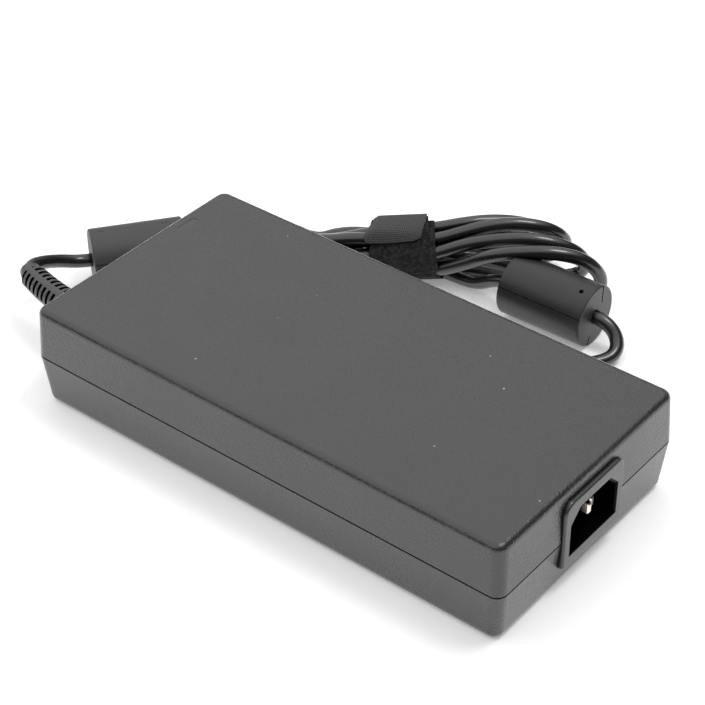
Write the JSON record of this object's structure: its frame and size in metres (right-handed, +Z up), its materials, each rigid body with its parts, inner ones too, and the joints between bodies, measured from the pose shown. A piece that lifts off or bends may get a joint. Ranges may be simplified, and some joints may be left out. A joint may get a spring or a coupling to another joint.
{
  "type": "laptop power adapter",
  "caption": "Flat rectangular power brick with a mains inlet socket and a tied-up output cord carrying round ferrite chokes and a barrel plug.",
  "frame": {"origin": "middle of the brick's flat underside", "axes": "+X towards the inlet end, +Y towards the side where the cord lies, +Z up"},
  "size_m": [0.2455, 0.1888, 0.04],
  "materials": {
    "case": "fine moulded texture",
    "inlet": "smooth moulded",
    "pin_metal": "nickel plated",
    "clear_window": "pale translucent",
    "board": "solder mask",
    "film": "film",
    "aluminium": "plain",
    "pad": "soft pad",
    "component": "moulded",
    "ferrite": "sintered",
    "copper": "enamelled wire",
    "can": "sleeved can",
    "wire": "insulated",
    "soft_rubber": "soft moulded",
    "cord": "semi-gloss jacket",
    "choke_plastic": "satin moulded",
    "strap": "woven hook and loop",
    "plug_metal": "nickel plated"
  },
  "bodies": {
    "root": {"boost_inductor_core": "ferrite", "boost_inductor_winding": "copper", "bottom_cover": "case", "bridge_rectifier": "component", "bulk_capacitor": "can", "choke_1_ferrite": "ferrite", "choke_1_shell_lower": "choke_plastic", "choke_1_shell_upper": "choke_plastic", "choke_2_ferrite": "ferrite", "choke_2_shell_lower": "choke_plastic", "choke_2_shell_upper": "choke_plastic", "circuit_board": "board", "control_chips": "component", "cord_from_hank": "cord", "cord_hank": "cord", "cord_in_choke_1": "cord", "cord_in_choke_2": "cord", "cord_tail": "cord", "cord_to_choke_1": "cord", "cord_to_hank": "cord", "fuse": "component", "hank_strap": "strap", "heat_spreader": "aluminium", "inlet_earth_pin": "pin_metal", "inlet_housing": "inlet", "inlet_line_pin": "pin_metal", "inlet_neutral_pin": "pin_metal", "insulation_sheet": "film", "light_pipe": "clear_window", "line_choke_core": "ferrite", "line_choke_winding": "copper", "mains_wires": "wire", "output_capacitors": "can", "output_rectifiers": "component", "output_wires": "wire", "plug_centre_pin": "plug_metal", "plug_grip": "soft_rubber", "plug_insulator": "inlet", "plug_sleeve": "plug_metal", "primary_heatsink": "aluminium", "secondary_heatsink": "aluminium", "status_led": "clear_window", "strain_relief": "soft_rubber", "switching_transistors": "component", "thermal_pads": "pad", "top_cover": "case", "transformer_core": "ferrite", "transformer_winding": "copper", "x_capacitor": "component"}
  },
  "joints": []
}
